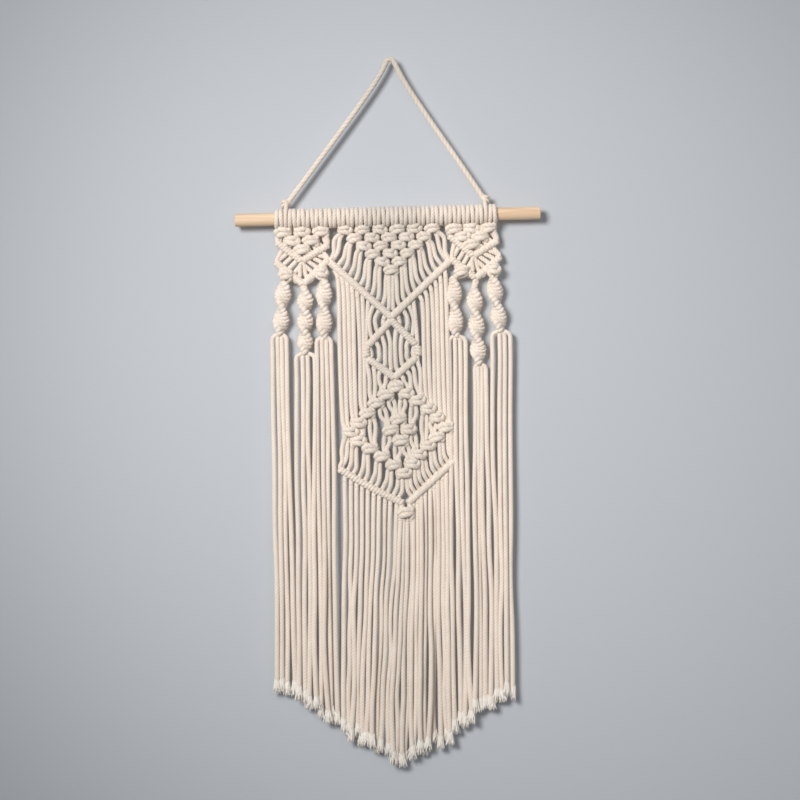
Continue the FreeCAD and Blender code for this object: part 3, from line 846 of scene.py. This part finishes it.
def cotton(name, light, dark, shade):
    """Twisted cotton: fibres run along the plies, with a soft fuzzy sheen.

    light and dark are the fibres' colours, and shade tints soft patches.
    """
    material, nodes, links, shader = new_material(name)
    along_plies = stretched(nodes, links, attribute(nodes, "fibre", "Vector"), (1.0, 1.0, 0.10))
    fine = noise(nodes, links, along_plies, 2600.0, 3.0)
    weigh = nodes.new("ShaderNodeMath")
    weigh.operation = "MULTIPLY_ADD"
    weigh.inputs[1].default_value = 0.9
    weigh.inputs[2].default_value = 0.1
    links.new(fine, weigh.inputs[0])
    tone = mixed(nodes)
    tone.inputs["A"].default_value = (*dark, 1.0)
    tone.inputs["B"].default_value = (*light, 1.0)
    links.new(ramp(nodes, links, weigh.outputs[0], 0.36, 0.56), tone.inputs["Factor"])
    place = nodes.new("ShaderNodeTexCoord")
    patches = noise(nodes, links, place.outputs["Object"], 60.0, 4.0)
    colour = tinted(nodes, links, tone.outputs["Result"], ranged(nodes, links, patches, 0.35, 0.7), shade)
    # Painted shade: the tone attribute greys and darkens the cotton across the middle of the panel; it also
    # carries each cord's own random greyness.
    colour = tinted(nodes, links, colour, attribute(nodes, "tone", "Fac"), (0.83, 0.85, 0.86))
    # Painted shade: the cotton is darkened towards the bottom of the grooves between the plies.
    sharpened_groove_shade = nodes.new("ShaderNodeMath")
    sharpened_groove_shade.operation = "POWER"
    sharpened_groove_shade.inputs[1].default_value = 2.0
    links.new(attribute(nodes, "painted_groove_shade", "Fac"), sharpened_groove_shade.inputs[0])
    colour = tinted(nodes, links, colour, sharpened_groove_shade.outputs[0], (0.85, 0.83, 0.80))
    links.new(colour, shader.inputs["Base Color"])
    roughened(nodes, links, shader, fine, 0.55)
    shader.inputs["Roughness"].default_value = 0.92
    shader.inputs["Specular IOR Level"].default_value = 0.15
    shader.inputs["Sheen Weight"].default_value = 0.25
    shader.inputs["Sheen Roughness"].default_value = 0.6
    return material


def pale_wood():
    """Pale birch: long grain along X, a few darker streaks."""
    material, nodes, links, shader = new_material("pale_wood_grain")
    place = nodes.new("ShaderNodeTexCoord")
    along_grain = stretched(nodes, links, place.outputs["Object"], (0.06, 1.0, 1.0))
    grain = noise(nodes, links, along_grain, 900.0, 6.0)
    streaks = noise(nodes, links, along_grain, 190.0, distortion=0.8)
    colour = ramp(nodes, links, streaks, 0.3, 0.62, (0.72, 0.49, 0.31), (0.88, 0.66, 0.45))
    fine = mixed(nodes, "MULTIPLY")
    fine.inputs["Factor"].default_value = 0.35
    links.new(colour, fine.inputs["A"])
    links.new(ranged(nodes, links, grain, 0.3, 0.7, 0.82), fine.inputs["B"])
    links.new(fine.outputs["Result"], shader.inputs["Base Color"])
    roughened(nodes, links, shader, grain, 0.25)
    shader.inputs["Roughness"].default_value = 0.55
    return material


COTTON = cotton("natural_cotton", (0.95, 0.845, 0.745), (0.82, 0.705, 0.605), (0.95, 0.93, 0.92))
TIP_COTTON = cotton("opened_cotton", (0.97, 0.91, 0.84), (0.90, 0.83, 0.75), (0.97, 0.96, 0.95))
HANGER_COTTON = cotton("hanger_cotton_rope", (0.90, 0.80, 0.70), (0.78, 0.66, 0.56), (0.95, 0.92, 0.90))
WOOD = pale_wood()

# ---- cords into pieces ----------------------------------------

CORD_STEP = 1.05 * MM       # between the rings of a knotted cord
FRINGE_STEP = 1.6 * MM
lines = evaluate(routes)
sections = []               # per cord: {section: (centreline, radii, distance along)}
for line, facts in lines:
    line, facts, stations = resample(line, facts, CORD_STEP)
    part = np.rint(facts[:, 1]).astype(int)
    found = {}
    for number in range(part.max() + 1):
        chosen = np.flatnonzero(part == number)
        first = chosen[0]
        last = min(chosen[-1] + 1, len(part) - 1)
        found[number] = (line[first:last + 1], facts[first:last + 1, 0], stations[first:last + 1])
    sections.append(found)

CORD_TONES = rng.uniform(0.0, 0.25, STRANDS)    # some cords are a little greyer than others
CORD_PHASE = 0.7            # the twist of each cord starts at another angle


def piece_of(name, members):
    """One object of the given (cord, section) pairs."""
    mesh = CordMesh()
    for s, number in members:
        line, radii, along = sections[s][number]
        mesh.tube(line, radii, along, phase=CORD_PHASE * s, tone=CORD_TONES[s])
    obj = mesh.build(name, COTTON)
    return obj


left_panel = piece_of("left_panel_knots", [(s, KNOTS) for s in range(SIDE_STRANDS)])
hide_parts("larks_heads_left", "square_knots_left", "upper_chevron_left", "lower_chevron_left",
            "drop_cords_left")
right_panel = piece_of("right_panel_knots", [(s, KNOTS) for s in range(CENTRE_LAST + 1, STRANDS)])
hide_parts("larks_heads_right", "square_knots_right", "upper_chevron_right",
            "lower_chevron_right", "drop_cords_right")
centre_upper = piece_of("centre_upper_knots", [(s, KNOTS) for s in centre_strands])
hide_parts("larks_heads_centre", "square_knots_centre", "long_chevron", "drop_cords_upper")
centre_middle = piece_of("centre_hexagon", [(s, HEXAGON) for s in centre_strands])
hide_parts("hexagon_top", "hexagon_bottom", "hexagon_knot_left", "hexagon_knot_right",
            "hexagon_cords", "drop_cords_middle")
centre_lower = piece_of("centre_diamond", [(s, DIAMOND) for s in centre_strands])
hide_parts("diamond_knots", "inner_diamond_knots", "diamond_cords", "drop_cords_lower",
            "bottom_chevron", "tip_knot")
for obj in (left_panel, right_panel, centre_upper, centre_middle, centre_lower):
    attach(obj, "panel")


def thinned(line, radii, along, spacing):
    """The same cord with rings further apart, for straight runs."""
    count = max(3, int(round((along[-1] - along[0]) / spacing)) + 1)
    stations = np.linspace(along[0], along[-1], count)
    new_line = np.stack([np.interp(stations, along, line[:, k]) for k in range(3)], axis=1)
    return new_line, np.interp(stations, along, radii), stations


def fringe_cord(name, s, number):
    """One hanging cord as its own piece; its lower end is left for the frayed tip."""
    line, radii, along = thinned(*sections[s][number], FRINGE_STEP)
    radii[-3:] *= (0.97, 0.9, 0.75)
    mesh = CordMesh()
    mesh.tube(line, radii, along, phase=CORD_PHASE * s, tone=CORD_TONES[s])
    obj = mesh.build(name, COTTON)
    return obj


YARNS = 46                  # loose yarns in each cut end
YARN_POINTS = 7


def frayed_tips(name, cords, body, number):
    """The opened cut ends of several cords: a soft core that widens, and loose yarns round it."""
    mesh = CordMesh()
    for s in cords:
        line, _radii, along = sections[s][number]
        end = line[-1]
        direction = line[-1] - line[-6]
        direction /= np.linalg.norm(direction)
        fan = rng.uniform(1.05, 1.4)
        places = (-4.5, -3.0, -1.0, 1.5, 4.0, 6.0, 7.0)
        core = np.array([end + direction * place * MM for place in places])
        core_radii = np.array([1.7, 2.1, 2.4, 2.6 * fan ** 0.5, 2.6 * fan, 2.0 * fan, 0.8]) * MM
        core_along = along[-1] + np.linspace(places[0], places[-1], len(places)) * MM
        mesh.tube(core, core_radii, core_along, ring=12, grooves=0.05, tone=CORD_TONES[s])
        for _yarn in range(YARNS):
            angle = rng.uniform(0.0, 2 * math.pi)
            spread = rng.uniform(0.45, 1.0) * 2.4 * MM
            flare = fan * rng.uniform(1.0, 1.75)
            outward = np.array([math.cos(angle), 0.8 * math.sin(angle), 0.0]) * spread
            reach = (TIP_LENGTH + 3.0) * MM * rng.uniform(0.75, 1.1)
            curl = rng.normal(0.0, 0.7 * MM, 3)
            points = []
            for share in np.linspace(0.0, 1.0, YARN_POINTS):
                place = end + direction * (share * reach - 3.5 * MM)
                place = place + outward * (1.0 + (flare - 1.0) * share ** 1.4) + curl * share ** 2
                points.append(place)
            points = np.array(points)
            width = rng.uniform(0.5, 0.75) * MM
            taper = width * np.array([0.8, 1.0, 1.0, 1.0, 0.95, 0.85, 0.5])
            travelled = np.linspace(0.0, reach, YARN_POINTS) + rng.uniform(0.0, 50.0) * MM
            mesh.tube(points, taper, travelled, ring=5, grooves=0.0, tone=CORD_TONES[s])
    obj = mesh.build(name, TIP_COTTON)
    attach(obj, body)


def bend(obj):
    """Bakes the piece's placement into its mesh."""
    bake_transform(obj)


for number, (cords, top, foot, _swellings, _hand) in SINNETS.items():
    sinnet = piece_of(f"spiral_sinnet_{number}_cords", [(s, SPIRAL) for s in cords])
    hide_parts(f"spiral_sinnet_{number}")
    bend(sinnet)
    for letter, s in zip("abcd", cords):
        obj = fringe_cord(f"fringe_{number}_cord_{letter}", s, SIDE_FRINGE)
        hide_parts(f"fringe_{number}")
        bend(obj)
    frayed_tips(f"fringe_{number}_tips", cords, f"tassel_{number}", SIDE_FRINGE)

for k, s in enumerate(CENTRE_ORDER):
    obj = fringe_cord(f"centre_fringe_cord_{k + 1:02d}", s, CENTRE_FRINGE)
    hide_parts("centre_fringe")
    x, z = centre_tops[s]
    bend(obj)
frayed_tips("centre_fringe_tips", CENTRE_ORDER, "centre_tassel", CENTRE_FRINGE)

hanger_line, hanger_facts = evaluate([hanger_route])[0]
hanger_line, hanger_facts, hanger_along = resample(hanger_line, hanger_facts, 1.5 * MM)
mesh = CordMesh()
mesh.tube(hanger_line, hanger_facts[:, 0], hanger_along, lay=17.0 * MM, ring=24, grooves=0.055)
hanger = mesh.build("hanger_rope", HANGER_COTTON)
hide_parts("hanger_cord")
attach(hanger, "hanger")
for side, x, label in ((1.0, left_foot_x, "left"), (-1.0, right_foot_x, "right")):
    loop_line, loop_facts = evaluate([hanger_loop(x, side)])[0]
    loop_line, loop_facts, loop_along = resample(loop_line, loop_facts, 1.0 * MM)
    mesh = CordMesh()
    mesh.tube(loop_line, loop_facts[:, 0], loop_along)
    loop = mesh.build(f"hanger_loop_{label}", HANGER_COTTON)
    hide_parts(f"hanger_knot_{label}")
    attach(loop, "hanger")

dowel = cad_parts["dowel"]
for slot_number in range(len(dowel.material_slots)):
    dowel.material_slots[slot_number].material = WOOD

# ---- wall, floor, light and camera ----------------------------------------

WALL_Y = 12.8 * MM
WALL_HALF = 3.0
CEILING_Z = 1.6
FLOOR_Z = -1.4
WALL_COLOUR = (0.535, 0.560, 0.596)
FLOOR_COLOUR = (0.62, 0.62, 0.62)


def backdrop(name, corners, colour):
    """A flat stage surface that is seen only from its front and lets light from behind it through."""
    mesh = bpy.data.meshes.new(name)
    mesh.from_pydata(corners, [], [(0, 1, 2, 3)])
    obj = bpy.data.objects.new(name, mesh)
    bpy.context.scene.collection.objects.link(obj)
    material, nodes, links, shader = new_material(name + "_paint")
    shader.inputs["Base Color"].default_value = (*colour, 1.0)
    shader.inputs["Roughness"].default_value = 0.95
    shader.inputs["Specular IOR Level"].default_value = 0.1
    clear = nodes.new("ShaderNodeBsdfTransparent")
    facing = nodes.new("ShaderNodeNewGeometry")
    choose = nodes.new("ShaderNodeMixShader")
    links.new(facing.outputs["Backfacing"], choose.inputs["Fac"])
    links.new(shader.outputs["BSDF"], choose.inputs[1])
    links.new(clear.outputs["BSDF"], choose.inputs[2])
    links.new(choose.outputs["Shader"], nodes["Material Output"].inputs["Surface"])
    mesh.materials.append(material)
    obj.visible_shadow = False


backdrop("wall", [
    (-WALL_HALF, WALL_Y, FLOOR_Z), (WALL_HALF, WALL_Y, FLOOR_Z),
    (WALL_HALF, WALL_Y, CEILING_Z), (-WALL_HALF, WALL_Y, CEILING_Z),
], WALL_COLOUR)
backdrop("floor", [
    (-WALL_HALF, -WALL_HALF, FLOOR_Z), (WALL_HALF, -WALL_HALF, FLOOR_Z),
    (WALL_HALF, WALL_Y, FLOOR_Z), (-WALL_HALF, WALL_Y, FLOOR_Z),
], FLOOR_COLOUR)


def look_rows(direction):
    """Rotation whose -Z looks along direction with +Z of the world up."""
    back = -direction / np.linalg.norm(direction)
    right = np.cross([0.0, 0.0, 1.0], back)
    right /= np.linalg.norm(right)
    up = np.cross(back, right)
    return [[right[k], up[k], back[k]] for k in range(3)]


def place_light(name, data, place, target):
    """A light object at place that shines at target."""
    obj = bpy.data.objects.new(name, data)
    bpy.context.scene.collection.objects.link(obj)
    obj.location = place
    obj.rotation_euler = Matrix(look_rows(np.array(target) - np.array(place))).to_euler()


def area_light(name, place, target, size, power, colour):
    """A soft round lamp."""
    data = bpy.data.lights.new(name, "AREA")
    data.shape = "DISK"
    data.size = size
    data.energy = power
    data.color = colour
    place_light(name, data, place, target)


key_data = bpy.data.lights.new("key", "SPOT")
key_data.energy = 160.0
key_data.color = (1.0, 0.985, 0.965)
key_data.spot_size = math.radians(48.0)
key_data.spot_blend = 1.0
key_data.shadow_soft_size = 0.36
place_light("key", key_data, (-0.75, -1.75, 0.30), (0.09, 0.0, -0.32))
area_light("fill", (0.6, -2.2, 0.2), (0.0, 0.0, -0.3), 1.6, 4.0, (0.95, 0.97, 1.0))
area_light("back_fill", (0.7, 1.9, 0.4), (0.0, 0.0, -0.35), 1.6, 9.0, (1.0, 0.98, 0.96))

world = bpy.data.worlds.new("room")
world.use_nodes = True
background = world.node_tree.nodes["Background"]
background.inputs["Color"].default_value = (0.95, 0.97, 1.0, 1.0)
background.inputs["Strength"].default_value = 0.24
bpy.context.scene.world = world
bpy.context.scene.view_settings.view_transform = "Standard"

ROLL = math.radians(1.4)    # the camera is held a little off level
TARGET = (1.75 * MM, 0.0, -337.6 * MM)
DISTANCE = 1.9
VIEW_WIDTH = 0.8
SENSOR_WIDTH = 36.0
camera_data = bpy.data.cameras.new("camera")
camera_data.sensor_width = SENSOR_WIDTH
camera_data.lens = SENSOR_WIDTH * DISTANCE / VIEW_WIDTH
camera = bpy.data.objects.new("camera", camera_data)
bpy.context.scene.collection.objects.link(camera)
right = (math.cos(ROLL), 0.0, -math.sin(ROLL))
up = (math.sin(ROLL), 0.0, math.cos(ROLL))
camera.matrix_world = Matrix((
    (right[0], up[0], 0.0, TARGET[0]),
    (right[1], up[1], -1.0, TARGET[1] - DISTANCE),
    (right[2], up[2], 0.0, TARGET[2]),
    (0.0, 0.0, 0.0, 1.0),
))
bpy.context.scene.camera = camera

# ---- update the scene -------------------------------------------

bpy.context.view_layer.update()
